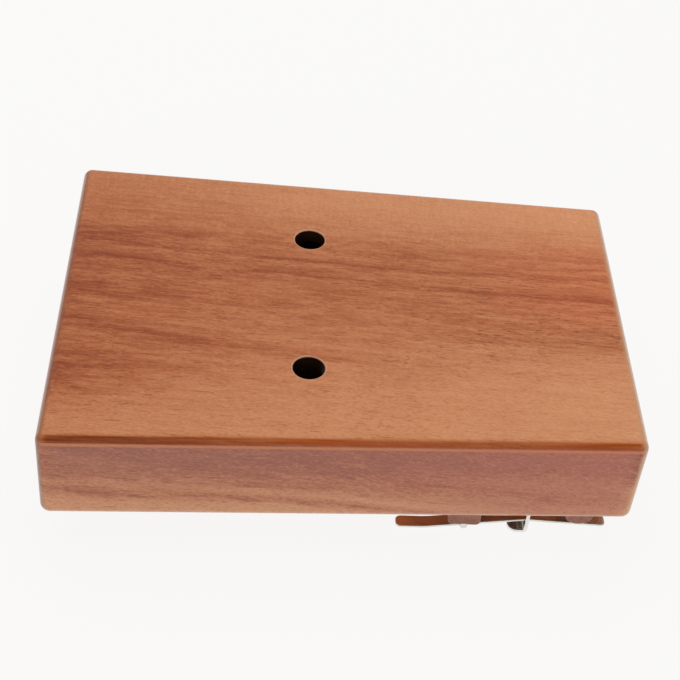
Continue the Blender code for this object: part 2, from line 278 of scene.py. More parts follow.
# stretch along x, y and z in 1/mm, detail and roughness of each texture
woodGrain = dict(
    drift=((0.013, 0.02, 0.02), 2.0), ripple=((0.075, 0.10, 0.10), 3.0, 0.6), rippleShare=0.3, sideways=1.8,
    fibre=((0.030, 0.55, 0.55), 5.0, 0.68), threads=((0.06, 1.5, 1.5), 2.0), threadShare=0.5,
    bands=((0.011, 0.24, 0.24), 2.0), bandShare=0.45,
    speckle=((0.7, 1.8, 1.8), 3.0, 0.65), speckleHeight=0.35, figure=((0.16, 0.05, 0.05), 2.0),
    dashes=((0.12, 2.3, 2.3), 1.5), crowd=((0.018, 0.06, 0.06), 2.0), crowdShare=0.14, poreRange=(0.64, 0.78))


def makeGrainGroup():
    look = woodGrain
    tree, given, made = newGroup("woodGrain", [
        ("Place", "Vector", None), ("Wander", "Float", 2.0), ("Slope", "Float", 0.0)],
        [(label, "Float") for label in ("Fibre", "Speckle", "Pores", "Figure", "Height")])
    place = given["Place"]
    along = addNode(tree, "SeparateXYZ", {0: place}).outputs["X"]
    drift = unevenness(tree, place, *look["drift"])
    drift = plusShare(tree, drift, unevenness(tree, place, *look["ripple"]), look["rippleShare"])
    drift = plusShare(tree, times(tree, drift, given["Wander"]), along, given["Slope"])
    shift = addNode(tree, "CombineXYZ", {"Y": drift, "Z": times(tree, drift, look["sideways"])}).outputs[0]
    warped = addNode(tree, "VectorMath", {0: place, 1: shift}, operation="ADD").outputs[0]
    fibre = noise(tree, warped, *look["fibre"])
    fibre = plusShare(tree, fibre, unevenness(tree, warped, *look["threads"]), look["threadShare"])
    fibre = plusShare(tree, fibre, unevenness(tree, warped, *look["bands"]), look["bandShare"])
    speckle, figure = noise(tree, warped, *look["speckle"]), noise(tree, warped, *look["figure"])
    dashes = noise(tree, warped, *look["dashes"])  # pores, closer together in some places than in others
    dashes = plusShare(tree, dashes, noise(tree, warped, *look["crowd"]), look["crowdShare"])
    pores = smooth(tree, dashes, look["poreRange"])
    height = less(tree, times(tree, speckle, look["speckleHeight"]), pores)
    for label, value in dict(Fibre=fibre, Speckle=speckle, Pores=pores, Figure=figure, Height=height).items():
        tree.links.new(value, made[label])
    return tree


coreWidth = 0.35  # the late wood, a fine line in the middle of a streak


def makeStreakGroup():
    tree, given, made = newGroup("woodStreak", [
        ("Along", "Float", 0.0), ("Across", "Float", 0.0), ("Start", "Float", 0.0), ("End", "Float", 1.0),
        ("Start Across", "Float", 0.0), ("End Across", "Float", 0.0), ("Bow", "Float", 0.0),
        ("Start Half", "Float", 1.0), ("End Half", "Float", 1.0), ("Start Strength", "Float", 0.0),
        ("End Strength", "Float", 0.0), ("Core", "Float", 0.0), ("Fade", "Float", 30.0)], [("Tone", "Float")])
    along, start, end = given["Along"], given["Start"], given["End"]
    share = remap(tree, along, start, end, 0.0, 1.0)
    middle = remap(tree, along, start, end, given["Start Across"], given["End Across"], clamp=False)
    arch = times(tree, share, less(tree, 1.0, share), 4.0)  # 0 at both ends, 1 half way
    middle = plusShare(tree, middle, arch, given["Bow"])
    half = remap(tree, share, 0.0, 1.0, given["Start Half"], given["End Half"])
    strength = remap(tree, share, 0.0, 1.0, given["Start Strength"], given["End Strength"])
    away = calc(tree, "ABSOLUTE", less(tree, given["Across"], middle))
    away = calc(tree, "DIVIDE", away, half)
    body = smooth(tree, away, (0.0, 1.0), 1.0, 0.0)
    body = plusShare(tree, body, smooth(tree, away, (0.0, coreWidth), 1.0, 0.0), given["Core"])
    past = calc(tree, "MAXIMUM", less(tree, start, along), less(tree, along, end))
    fade = smooth(tree, past, (0.0, given["Fade"]), 1.0, 0.0)
    tree.links.new(times(tree, body, fade, strength), made["Tone"])
    return tree


handling = dict(lineDetail=3.0, lineRough=0.12, lineMiddle=0.45, blots=((0.09, 0.11, 0.11), 3.0, 0.6),
                blotRange=(0.42, 0.72), blotRough=0.1)


def makeHandlingGroup():
    look = handling
    tree, given, made = newGroup("handling", [
        ("Place", "Vector", None), ("Along", "Vector", (0.02, 6.0, 6.0)), ("Brushing", "Float", 1.0),
        ("Smudges", "Float", 1.0)], [("Roughness", "Float"), ("Height", "Float"), ("Tint", "Float")])
    lines = noise(tree, given["Place"], given["Along"], look["lineDetail"])
    blots = smooth(tree, noise(tree, given["Place"], *look["blots"]), look["blotRange"])
    brushed, smudged = times(tree, lines, given["Brushing"]), times(tree, blots, given["Smudges"])
    rough = plusShare(tree, times(tree, smudged, look["blotRough"]), brushed, look["lineRough"])
    scored = times(tree, less(tree, lines, look["lineMiddle"]), given["Brushing"])
    tree.links.new(rough, made["Roughness"])
    tree.links.new(brushed, made["Height"])
    tree.links.new(calc(tree, "ADD", smudged, scored, clamp=True), made["Tint"])
    return tree


grainGroup = makeGrainGroup()
streakGroup = makeStreakGroup()
handlingGroup = makeHandlingGroup()


# sizes of the sound box, which its wood goes by too

soundBox = dict(
    wideEnd=0.1345, narrowEnd=0.1187, wall=0.009, backThickness=0.005, rim=0.0055, boardThickness=0.004,
    cornerRadius=0.0031, leastRadius=0.0004, innerRadius=0.003, cornerSteps=14,
    edgeRadius=0.0038, edgeSteps=12, slack=0.0001,
    holeRadius=0.0051, holeX=-0.0119, holeSpacing=0.0635, holeSides=72, lip=0.0004, lipSteps=6)

# its lacquered wood: places and spans are in mm, and tones run from 0 light to 1 deep
boxWood = dict(
    finish={"Roughness": 0.45, "Specular IOR Level": 0.1, "Coat Weight": 1.0, "Coat Roughness": 0.04},
    bump=0.12, backFade=(0.4, 3.0),
    ramp=dict(pale=(0.0, (0.725, 0.345, 0.168)), light=(0.17, (0.648, 0.283, 0.127)),
              middle=(0.58, (0.478, 0.153, 0.054)), dark=(0.83, (0.350, 0.083, 0.022)),
              deep=(1.0, (0.258, 0.046, 0.009))),
    toneRange=(-0.2, 1.0), runX=(-92, 92), backTones=(0.31, 0.07), sideTones=(0.43, 0.30),
    wander=4.0, slope=0.07, ragged=2.2, bundle=(0.36, 0.62), bundleLevels=(0.7, 1.15), sideFibre=0.8,
    shares=dict(Fibre=0.34, Speckle=0.72, Figure=0.08),
    ripple=((1.0, 0.2, 0.2), 2.0), rippleRise=(15, 40), rippleShare=0.25,
    ends=dict(turn=(0.75, 0.98), tone=0.42, cover=0.75, rings=((0.05, 0.035, 0.45), 3.0), ringShare=0.7,
              fibre=-0.3),
    sides=dict(inward=(86, 91), mauve=(0.36, 0.115, 0.075), mauveRise=(9, 29), mauveShare=0.6,
               pink=(0.475, 0.122, 0.068), pinkRun=(-30, 75), pinkShare=0.55),
    flecks=dict(dark=((0.30, 0.070, 0.042), (0.5, 0.68)), pale=((0.58, 0.235, 0.125), (0.5, 0.32)),
                share=0.4),
    flush=dict(tint=(1.085, 0.95, 0.905), run=(30, 88), rise=(-16, 4), fall=(22, 46), rest=0.4),
    pores=dict(color=(0.20, 0.042, 0.005), share=0.64, paleShare=0.3, toneRange=(0.1, 0.5), duskShare=0.7,
               farFade=(20, 42), farShare=0.3, roughY=-9.0, roughHalf=(6, 15), roughRun=(20, 75),
               roughShare=0.9),
    # painted reflections on the rounded edges: a deep band, darker towards the tip end, and a paler band
    # below it
    edgeReflections=dict(deep=(0.35, 0.066, 0.010), dark=(0.205, 0.034, 0.005), darkRun=(-70, -10), deepShare=0.88,
                 deepRise=(0.15, 0.8), deepFall=(2.0, 2.5), cornerFade=(88.5, 91.3), cornerShare=0.25,
                 runs=((0.03, 0.4, 1.7), 2.0), runRange=(0.35, 0.62), runLevels=(0.62, 1.12),
                 light=(0.60, 0.205, 0.078), lightShare=0.75, lightRise=(2.2, 2.6), lightFall=(3.1, 3.6)),
    # a painted highlight on the lips of the finger holes, and painted reflections on the rounded edges at
    # both ends
    lips=dict(color=(0.66, 0.40, 0.28), share=0.5, reach=(0.3, 0.6), depth=(0.4, 0.6)),
    rims=dict(flatEnd=(0.8, 0.985), dark=((0.23, 0.080, 0.024), 0.6, (-0.2, -0.75)),
              light=((0.68, 0.37, 0.18), 0.65, (0.12, 0.65))),
    # streaks placed one by one, on the back by x and y, on the sides by x and height:
    # where they start and end, and the half width and strength at both ends
    backStreaks=dict(
        heart=dict(start=(-92, 8), end=(92, 8), half=(85, 52), strength=(0.43, 0.40)),
        farLeft=dict(start=(-92, 31), end=(-45, 30), half=(8, 5), strength=(0.18, 0.12), core=0.5),
        farRight=dict(start=(20, 25), end=(85, 25), half=(7, 11), strength=(0.12, 0.16)),
        longUpper=dict(start=(-92, 27.5), end=(92, 17), half=(3, 3), strength=(0.13, 0.12), bow=-3, core=0.9),
        longLower=dict(start=(-92, 19.5), end=(92, 6.5), half=(3.5, 3), strength=(0.12, 0.09), bow=-1.5,
                       core=0.6),
        leftPatch=dict(start=(-92, 3), end=(-60, 0), half=(7, 6), strength=(0.18, 0.06)),
        rightBand=dict(start=(50, 8), end=(92, 7), half=(4, 6), strength=(0.06, 0.15)),
        rightRough=dict(start=(40, -8), end=(92, -8), half=(11, 14), strength=(0.08, 0.18)),
        rightLine=dict(start=(40, -14), end=(92, -16.5), half=(4, 4), strength=(0.08, 0.18)),
        bowed=dict(start=(-92, -13), end=(20, -27.5), half=(6, 4), strength=(0.23, 0.08), bow=-3.5, core=0.2),
        nearLeft=dict(start=(-92, -36), end=(-50, -38), half=(24, 14), strength=(0.40, 0.12)),
        farEdge=dict(start=(-20, 52), end=(92, 50), half=(22, 14), strength=(-0.14, -0.10))),
    sideStreaks=dict(
        dusk=dict(start=(-92, 30), end=(92, 32), half=(19, 22), strength=(0.42, 0.60)),
        pale=dict(start=(-92, 3), end=(92, 2), half=(13, 9), strength=(-0.48, -0.62)),
        duskMiddle=dict(start=(0, 30), end=(45, 28), half=(9, 9), strength=(0.20, 0.20)),
        golden=dict(start=(-90, 16), end=(32, 5), half=(3, 3), strength=(-0.18, -0.22), bow=2.5),
        shade=dict(start=(-58, 10), end=(20, 4), half=(3, 2.5), strength=(0.24, 0.40), bow=1.5, core=0.3),
        flame=dict(start=(0, 21), end=(66, 10), half=(5, 4), strength=(0.24, 0.22), core=0.2),
        ember=dict(start=(30, 19), end=(80, 16), half=(5, 7), strength=(-0.18, -0.20)),
        leftLine=dict(start=(-92, 14), end=(-72, 11), half=(2, 2), strength=(0.14, 0.06), core=0.5)))


def boxPlaces(tree):
    place = millimetres(tree)
    x, y, z = addNode(tree, "SeparateXYZ", {0: place}).outputs
    normal = addNode(tree, "NewGeometry").outputs["Normal"]
    lean = addNode(tree, "SeparateXYZ", {0: normal}).outputs["X"]
    endward, fromMiddle = calc(tree, "ABSOLUTE", lean), calc(tree, "ABSOLUTE", x)
    depth = less(tree, backZ * 1000, z)
    onBack = smooth(tree, depth, boxWood["backFade"], 1.0, 0.0)
    onSide = less(tree, 1.0, onBack)
    inward = times(tree, onSide, smooth(tree, fromMiddle, boxWood["sides"]["inward"], 1.0, 0.0))
    return dict(place=place, x=x, y=y, fromMiddle=fromMiddle, depth=depth,
                height=less(tree, z, frontZ * 1000), lean=lean, endward=endward, onBack=onBack, onSide=onSide,
                inward=inward, onEnd=smooth(tree, endward, boxWood["ends"]["turn"]))


def streakTone(tree, streaks, along, across, tones, bundle):
    tone = remap(tree, along, *boxWood["runX"], *tones)
    for streak in streaks.values():
        values = {"Along": along, "Across": across}
        values.update({"Bow": streak.get("bow", 0.0), "Core": streak.get("core", 0.0)})
        for end, at in (("Start", 0), ("End", 1)):
            values[end], values[end + " Across"] = streak[end.lower()]
            values[end + " Half"] = streak["half"][at]
            values[end + " Strength"] = streak["strength"][at]
        tone = plusShare(tree, tone, useGroup(tree, streakGroup, values)["Tone"], bundle)
    return tone


def boxTone(tree, at, grain):
    look, ends = boxWood, boxWood["ends"]
    ragged = times(tree, less(tree, grain["Fibre"], 0.5), look["ragged"])
    # fine lines make up a streak
    bundle = remap(tree, grain["Fibre"], *look["bundle"], *look["bundleLevels"])
    byY, byHeight = calc(tree, "ADD", at["y"], ragged), calc(tree, "ADD", at["height"], ragged)
    back = streakTone(tree, look["backStreaks"], at["x"], byY, look["backTones"], bundle)
    side = streakTone(tree, look["sideStreaks"], at["x"], byHeight, look["sideTones"], bundle)
    tone = mixValue(tree, at["onBack"], side, back)
    tone = mixValue(tree, times(tree, at["onEnd"], ends["cover"]), tone, ends["tone"])
    rings = unevenness(tree, at["place"], *ends["rings"])  # seen end on, the years lie in bands
    tone = plusShare(tree, tone, rings, times(tree, at["onEnd"], ends["ringShare"]))
    lines = remap(tree, at["onEnd"], 0.0, 1.0, 1.0, ends["fibre"])
    lines = times(tree, at["onSide"], look["sideFibre"], lines)
    tone = plusShare(tree, tone, less(tree, grain["Fibre"], 0.5), lines)
    for label, share in look["shares"].items():
        tone = plusShare(tree, tone, less(tree, grain[label], 0.5), share)
    ripple = unevenness(tree, at["place"], *look["ripple"])  # across the grain, on the far half
    return plusShare(tree, tone, ripple, remap(tree, at["y"], *look["rippleRise"], 0.0, look["rippleShare"]))


def rampColor(tree, tone):
    ramp = addNode(tree, "ValToRGB", {0: remap(tree, tone, *boxWood["toneRange"], 0.0, 1.0)})
    stops = ramp.color_ramp.elements
    (first, firstColor), *between, (last, lastColor) = boxWood["ramp"].values()
    stops[0].position, stops[0].color = first, (*firstColor, 1)
    stops[1].position, stops[1].color = last, (*lastColor, 1)
    for position, color in between:
        stops.new(position).color = (*color, 1)
    return ramp.outputs[0]


def tintWood(tree, color, at, grain, mauve):
    sides, flush, flecks = boxWood["sides"], boxWood["flush"], boxWood["flecks"]
    color = mixColor(tree, mauve, color, (*sides["mauve"], 1))
    pink = times(tree, smooth(tree, at["x"], sides["pinkRun"], 0.0, sides["pinkShare"]), at["inward"])
    color = mixColor(tree, pink, color, (*sides["pink"], 1))
    redder = times(tree, smooth(tree, at["y"], flush["rise"]),
                   smooth(tree, at["y"], flush["fall"], 1.0, flush["rest"]))
    redder = times(tree, redder, smooth(tree, at["x"], flush["run"]), at["onBack"])  # towards the bridge end
    color = mixColor(tree, redder, color, (*flush["tint"], 1), "MULTIPLY")
    for fleck, span in (flecks["dark"], flecks["pale"]):
        share = times(tree, remap(tree, grain["Speckle"], *span, 0.0, flecks["share"]), at["onSide"])
        color = mixColor(tree, share, color, (*fleck, 1))
    return color


def showPores(tree, color, tone, at, grain, mauve):
    look, mauveShare = boxWood["pores"], boxWood["sides"]["mauveShare"]
    showing = remap(tree, tone, *look["toneRange"], look["paleShare"] * look["share"], look["share"])
    showing = times(tree, showing, remap(tree, mauve, 0.0, mauveShare, 1.0, look["duskShare"]),
                    remap(tree, at["y"], *look["farFade"], 1.0, look["farShare"]))
    offRough = calc(tree, "ABSOLUTE", less(tree, at["y"], look["roughY"]))
    rough = times(tree, remap(tree, at["x"], *look["roughRun"], 0.0, look["roughShare"]),
                  remap(tree, offRough, *look["roughHalf"], 1.0, 0.0))
    showing = calc(tree, "MULTIPLY_ADD", showing, rough, showing, clamp=True)  # rougher near the bridge end
    return mixColor(tree, times(tree, grain["Pores"], showing), color, (*look["color"], 1))


def paintEdgeReflections(tree, color, at):
    # painted reflections: a deep band on the rounded edge of the back, where the lacquer mirrors the dark
    # side of the studio, and a painted highlight on the turn to the sides, where it mirrors the bright floor
    look = boxWood["edgeReflections"]
    runs = remap(tree, noise(tree, at["place"], *look["runs"]), *look["runRange"], *look["runLevels"])
    deep = times(tree, smooth(tree, at["depth"], look["deepRise"]),
                 smooth(tree, at["depth"], look["deepFall"], 1.0, 0.0), runs, look["deepShare"],
                 smooth(tree, at["fromMiddle"], look["cornerFade"], 1.0, look["cornerShare"]))
    toDark = smooth(tree, at["x"], look["darkRun"], 1.0, 0.0)
    color = mixColor(tree, deep, color, mixColor(tree, toDark, (*look["deep"], 1), (*look["dark"], 1)))
    paintedHighlight = times(tree, smooth(tree, at["depth"], look["lightRise"]),
                 smooth(tree, at["depth"], look["lightFall"], 1.0, 0.0), look["lightShare"])
    return mixColor(tree, paintedHighlight, color, (*look["light"], 1))


def paintLipAndRimLight(tree, color, at):
    lips, rims = boxWood["lips"], boxWood["rims"]
    fromHoleX = less(tree, at["x"], soundBox["holeX"] * 1000)
    fromHoleY = less(tree, calc(tree, "ABSOLUTE", at["y"]), soundBox["holeSpacing"] / 2 * 1000)
    reach = addNode(tree, "CombineXYZ", {"X": fromHoleX, "Y": fromHoleY}).outputs[0]
    reach = addNode(tree, "VectorMath", {0: reach}, operation="LENGTH").outputs["Value"]
    reach = less(tree, reach, soundBox["holeRadius"] * 1000)
    # a painted highlight: a pale ring on the lip of each finger hole
    lipHighlight = times(tree, smooth(tree, reach, lips["reach"], lips["share"], 0.0),
                 remap(tree, at["depth"], *lips["depth"], 1.0, 0.0))
    color = mixColor(tree, lipHighlight, color, (*lips["color"], 1))
    offFlatEnds = smooth(tree, at["endward"], rims["flatEnd"], 1.0, 0.0)
    # painted reflections on the rounded edges at the ends: darker at the tip end, paler at the bridge end
    for rim, most, turn in (rims["dark"], rims["light"]):
        share = times(tree, smooth(tree, at["lean"], turn, 0.0, most), offFlatEnds)
        color = mixColor(tree, share, color, (*rim, 1))
    return color


def makeBoxWood():
    look, sides = boxWood, boxWood["sides"]
    material, tree, shader = newMaterial("boxWood", look["finish"])
    at = boxPlaces(tree)
    values = {"Place": at["place"], "Wander": look["wander"], "Slope": look["slope"]}
    grain = useGroup(tree, grainGroup, values)
    mauve = smooth(tree, at["height"], sides["mauveRise"], 0.0, sides["mauveShare"])
    mauve = times(tree, mauve, at["inward"])
    tone = boxTone(tree, at, grain)
    color = tintWood(tree, rampColor(tree, tone), at, grain, mauve)
    color = showPores(tree, color, tone, at, grain, mauve)
    color = paintLipAndRimLight(tree, paintEdgeReflections(tree, color, at), at)
    tree.links.new(color, shader.inputs["Base Color"])
    addBump(tree, shader, grain["Height"], look["bump"])
    return material


# the other woods, and the near-black wood inside the box
plainWoods = dict(
    board=dict(light=(0.56, 0.175, 0.045), dark=(0.35, 0.076, 0.017), pore=(0.12, 0.03, 0.013),
               coat=0.3, gloss=0.3, wander=9.0),
    bridge=dict(light=(0.40, 0.17, 0.10), dark=(0.22, 0.075, 0.042), pore=(0.09, 0.03, 0.018),
                coat=0.35, gloss=0.3, wander=2.0),
    block=dict(light=(0.56, 0.36, 0.19), dark=(0.40, 0.22, 0.10), pore=(0.22, 0.11, 0.05),
               coat=0.0, gloss=0.3, wander=3.0),
    inside=dict(light=(0.030, 0.013, 0.006), dark=(0.015, 0.006, 0.003), pore=(0.01, 0.005, 0.003),
                coat=0.0, gloss=0.03, wander=5.0))
plainFinish = dict(roughness=0.5, coatRoughness=0.08, shares=dict(Fibre=0.9, Speckle=0.35, Figure=0.3),
                   toneRange=(0.5, 1.05), poreShare=0.6, bump=0.25)


def makePlainWood(name, turn=None):
    look, finish = plainWoods[name], plainFinish
    material, tree, shader = newMaterial(name + "Wood", {
        "Roughness": finish["roughness"], "Specular IOR Level": look["gloss"],
        "Coat Weight": look["coat"], "Coat Roughness": finish["coatRoughness"]})
    place = millimetres(tree)
    if turn:  # grain along y for the pieces that lie across the box
        place = addNode(tree, "Mapping", {"Vector": place, "Rotation": turn}).outputs[0]
    grain = useGroup(tree, grainGroup, {"Place": place, "Wander": look["wander"]})
    tone = 0.0
    for label, share in finish["shares"].items():
        tone = plusShare(tree, tone, grain[label], share)
    tone = remap(tree, tone, *finish["toneRange"], 0.0, 1.0)
    color = mixColor(tree, tone, (*look["light"], 1), (*look["dark"], 1))
    color = mixColor(tree, times(tree, grain["Pores"], finish["poreShare"]), color, (*look["pore"], 1))
    tree.links.new(color, shader.inputs["Base Color"])
    addBump(tree, shader, grain["Height"], finish["bump"])
    return material


# along is the stretch of the brushed lines
steels = dict(
    tine=dict(color=(0.80, 0.78, 0.74), stain=(0.54, 0.51, 0.47), roughness=0.12, along=(0.03, 2.6, 2.6),
              brushing=1.3, smudges=0.35),
    bar=dict(color=(0.88, 0.87, 0.84), stain=(0.62, 0.60, 0.57), roughness=0.10, along=(2.4, 0.03, 2.4),
             brushing=1.2, smudges=0.3),
    rod=dict(color=(0.82, 0.80, 0.77), stain=(0.56, 0.54, 0.50), roughness=0.14, along=(3.0, 0.08, 3.0),
             brushing=0.9, smudges=0.3),
    screw=dict(color=(0.72, 0.71, 0.69), stain=(0.54, 0.52, 0.49), roughness=0.20, along=(3.0, 3.0, 0.5),
               brushing=0.8, smudges=1.0))
steelBump = 0.05


def makeSteel(name):
    look = steels[name]
    material, tree, shader = newMaterial(name + "Steel", {"Metallic": 1.0})
    marks = useGroup(tree, handlingGroup, {"Place": millimetres(tree), "Along": look["along"],
                                           "Brushing": look["brushing"], "Smudges": look["smudges"]})
    color = mixColor(tree, marks["Tint"], (*look["color"], 1), (*look["stain"], 1))
    tree.links.new(color, shader.inputs["Base Color"])
    tree.links.new(calc(tree, "ADD", marks["Roughness"], look["roughness"]), shader.inputs["Roughness"])
    addBump(tree, shader, marks["Height"], steelBump)
    return material


boxLow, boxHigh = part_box("body_shell")
frontZ, backZ = boxLow.z, boxHigh.z

boxMaterial = makeBoxWood()
boardMaterial = makePlainWood("board")
sideways = (0, 0, math.radians(90))
bridgeMaterial = makePlainWood("bridge", sideways)
blockMaterial = makePlainWood("block", sideways)
insideMaterial = makePlainWood("inside")
steelMaterials = {name: makeSteel(name) for name in steels}
print("materials made:", len(bpy.data.materials))


# sound box: a hollow shell with a rebate for the sound board and two finger holes

def upright(u, v, w):
    return u, v, w


boxSlope = (soundBox["narrowEnd"] - soundBox["wideEnd"]) / 2 / (boxHigh.x - boxLow.x)


def halfWidth(x):
    return soundBox["wideEnd"] / 2 + boxSlope * (x - boxLow.x)


def boxOutline(inset, radius):
    corners = []
    low, high = boxLow.x + inset, boxHigh.x - inset
    for x, side in ((low, -1), (high, -1), (high, 1), (low, 1)):
        corners.append((x, side * (halfWidth(x) - inset * math.hypot(1, boxSlope)), radius))
    return roundedPath(corners, soundBox["cornerSteps"])


def holeCutter(size, bottom, top, place):
    # flares at the top, so that the hole gets a rounded lip
    radius, lip = size["holeRadius"], size["lip"]
    flare = quarterRound(radius + lip, top - lip, lip, 180, 90, size["lipSteps"])
    past = [(radius + lip, top + overshoot), (0, top + overshoot)]
    return lathe([(0, bottom), (radius, bottom)] + flare + past, size["holeSides"], place)


def darkenChamber(piece, ceiling):
    # the chamber and the walls of the holes get the near-black wood
    size, slack = soundBox, soundBox["slack"]
    piece.data.materials.append(insideMaterial)
    for face in piece.data.polygons:
        x, y, z = face.center
        bored = math.hypot(x - size["holeX"], abs(y) - size["holeSpacing"] / 2) < size["holeRadius"] + hair
        within = abs(x) < boxHigh.x - size["wall"] + slack and abs(y) < halfWidth(x) - size["wall"] + slack
        inChamber = within and frontZ + size["boardThickness"] - slack < z < ceiling + hair
        if inChamber or (bored and z < backZ - size["lip"] + hair):
            face.material_index = 1


def makeSoundBox():
    size = soundBox
    edge, rings = size["edgeRadius"], []
    for k in range(size["edgeSteps"] + 1):  # a routed edge: outlines drawn in along a quarter round
        turn = math.pi / 2 * k / size["edgeSteps"]
        inset, rise = edge * (1 - math.sin(turn)), edge * (1 - math.cos(turn))
        outline = boxOutline(inset, max(size["cornerRadius"] - inset, size["leastRadius"]))
        rings.insert(k, [(p.x, p.y, frontZ + rise) for p in outline])
        rings.insert(k + 1, [(p.x, p.y, backZ - rise) for p in outline])
    piece = meshObject("sound_box", loft(rings))
    floor, ceiling = frontZ + size["boardThickness"], backZ - size["backThickness"]
    chamber, rebate = [boxOutline(size[inset], size["innerRadius"]) for inset in ("wall", "rim")]
    cutters = [prism(chamber, floor, ceiling, upright),
               prism(rebate, frontZ - overshoot, floor + hair, upright)]
    for side in (-1, 1):
        place = lambda u, v, w: (size["holeX"] + u, side * size["holeSpacing"] / 2 + v, w)
        cutters.append(holeCutter(size, ceiling - overshoot, backZ, place))
    carve(piece, cutters)
    smoothShade(piece, angle=30)
    dress(piece, boxMaterial, "body_wood", "body_shell")
    darkenChamber(piece, ceiling)
    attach(piece, "body")


makeSoundBox()
print("sound box made")


# sound board: let into the front, with a sound hole

soundBoard = dict(seam=0.00009, gap=0.00005, easing=0.0002, easingSteps=3,
                  holeX=-0.035, holeRadius=0.018, holeSides=128, lip=0.0013, lipSteps=9)


def makeSoundBoard():
    size = soundBoard
    top = frontZ + soundBox["boardThickness"] - size["gap"]
    bm = prism(boxOutline(soundBox["rim"] + size["seam"], soundBox["innerRadius"]), frontZ, top, upright)
    bevelEdges(bm, size["easing"], size["easingSteps"], lambda a, b: max(a.z, b.z) < frontZ + hair)
    piece = meshObject("sound_board", bm)
    flipped = lambda u, v, w: (size["holeX"] + u, v, -w)
    carve(piece, [holeCutter(size, -top - overshoot, -frontZ, flipped)])
    smoothShade(piece, angle=30)
    dress(piece, boardMaterial, "board_wood", "soundboard")
    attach(piece, "body")


makeSoundBoard()
print("sound board made")


# the two wooden bridges and the steel saddle rod, all across the front

bridges = dict(frontRound=0.0016, roundSteps=8, backSide=0.0018, domeSteps=32, endEasing=0.0007,
               easingSteps=4, grooveGap=0.00003, grooveSides=64, rodEasing=0.0004, rodSides=48)


def across(x, h, y):
    return x, y, frontZ - h


def domedOutline(low, high, tall):
    side, steps = bridges["backSide"], bridges["domeSteps"]
    middle, half = (low.x + high.x) / 2, (high.x - low.x) / 2
    outline = [Vector((low.x, 0)), Vector((high.x, 0))]
    for k in range(steps + 1):
        angle = math.pi * k / steps
        outline.append(Vector((middle + half * math.cos(angle), side + (tall - side) * math.sin(angle))))
    return outline


def makeBridge(name, node, groove=None):
    size = bridges
    low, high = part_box(node)
    tall = frontZ - low.z
    if groove:
        outline = roundedPath([(low.x, 0, 0), (high.x, 0, 0), (high.x, tall, size["frontRound"]),
                               (low.x, tall, size["frontRound"])], size["roundSteps"])
    else:
        outline = domedOutline(low, high, tall)
    bm = prism(outline, low.y, high.y, across)
    aroundEnd = lambda a, b: abs(a.y - b.y) < hair and min(a.z, b.z) < frontZ - hair
    bevelEdges(bm, size["endEasing"], size["easingSteps"], aroundEnd)
    piece = meshObject(name, bm)
    if groove:
        radius, place = groove
        start, end = low.y - overshoot, high.y + overshoot
        profile = [(0, start), (radius, start), (radius, end), (0, end)]
        carve(piece, [lathe(profile, size["grooveSides"], place)])
    smoothShade(piece)
    dress(piece, bridgeMaterial, "bridge_wood", node)
    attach(piece, "body")


def makeBridgesAndRod():
    size = bridges
    low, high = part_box("saddle_rod")
    x, z, radius = (low.x + high.x) / 2, (low.z + high.z) / 2, (high.x - low.x) / 2
    place = lambda u, v, w: (x + u, w, z + v)
    makeBridge("front_rail", "front_bridge", (radius + size["grooveGap"], place))
    makeBridge("back_rail", "back_bridge")
    ease = size["rodEasing"]
    lowEnd = quarterRound(radius - ease, low.y + ease, ease, 270, 360)
    highEnd = quarterRound(radius - ease, high.y - ease, ease, 0, 90)
    profile = [(0, low.y)] + lowEnd + highEnd + [(0, high.y)]
    rod = meshObject("saddle", lathe(profile, size["rodSides"], place))
    smoothShade(rod)
    dress(rod, steelMaterials["rod"], "rod_steel", "saddle_rod")
    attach(rod, "body")


makeBridgesAndRod()
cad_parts["bridge_block"].data.materials.clear()
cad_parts["bridge_block"].data.materials.append(blockMaterial)
print("bridges and saddle rod made")


# pressure bar: a bent strip with a lug at each end, and the four screws that draw it down

pressureBar = dict(thickness=0.0012, bendRadius=0.0004, bendSteps=8, cornerRadius=0.003, cornerSteps=12,
                   planPast=0.01, planReach=(-0.01, 0.03), lugWidth=0.0014, notchRadius=0.0008, notchSteps=8,
                   notchRoot=0.003, notchPast=0.0004, easing=0.00014)
tineRun = dict(thickness=0.001, pressedHeight=0.0048, clearance=0.0003)  # the tines under the bar
barScrew = dict(
    sides=48, headRadius=0.0021, headHeight=0.002, headRound=0.0011, roundSteps=8, rimEasing=0.0001,
    shankRadius=0.00098, pitch=0.0008, threadDepth=0.00022, threadPower=0.8, threadShare=0.62, threadSteps=72,
    runIn=6, pointShare=0.7, pointStart=0.85, crossWidth=0.00055, crossLength=0.0025, crossDepth=0.0011,
    crossRise=0.0005, crossTaper=0.45, crossTurn=20, turnBetween=37)


def tineSlopes():
    rodLow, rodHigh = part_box("saddle_rod")
    railLow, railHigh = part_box("back_bridge")
    press = tineRun["pressedHeight"]
    rod = Vector((webX - (rodLow.x + rodHigh.x) / 2, frontZ - (rodLow.z + rodHigh.z) / 2 - press))
    lift = (rodHigh.z - rodLow.z) / 2 + tineRun["clearance"]
    blade = math.atan2(rod.y, rod.x) + math.asin(lift / rod.length)
    rise = frontZ - railLow.z + tineRun["clearance"] - press
    return blade, math.atan2(rise, (railLow.x + railHigh.x) / 2 - webX)


# the bar's web presses every tine down between the saddle rod and the back bridge
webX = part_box("pressure_bar")[1].x - pressureBar["thickness"] / 2
bladeSlope, tailSlope = tineSlopes()


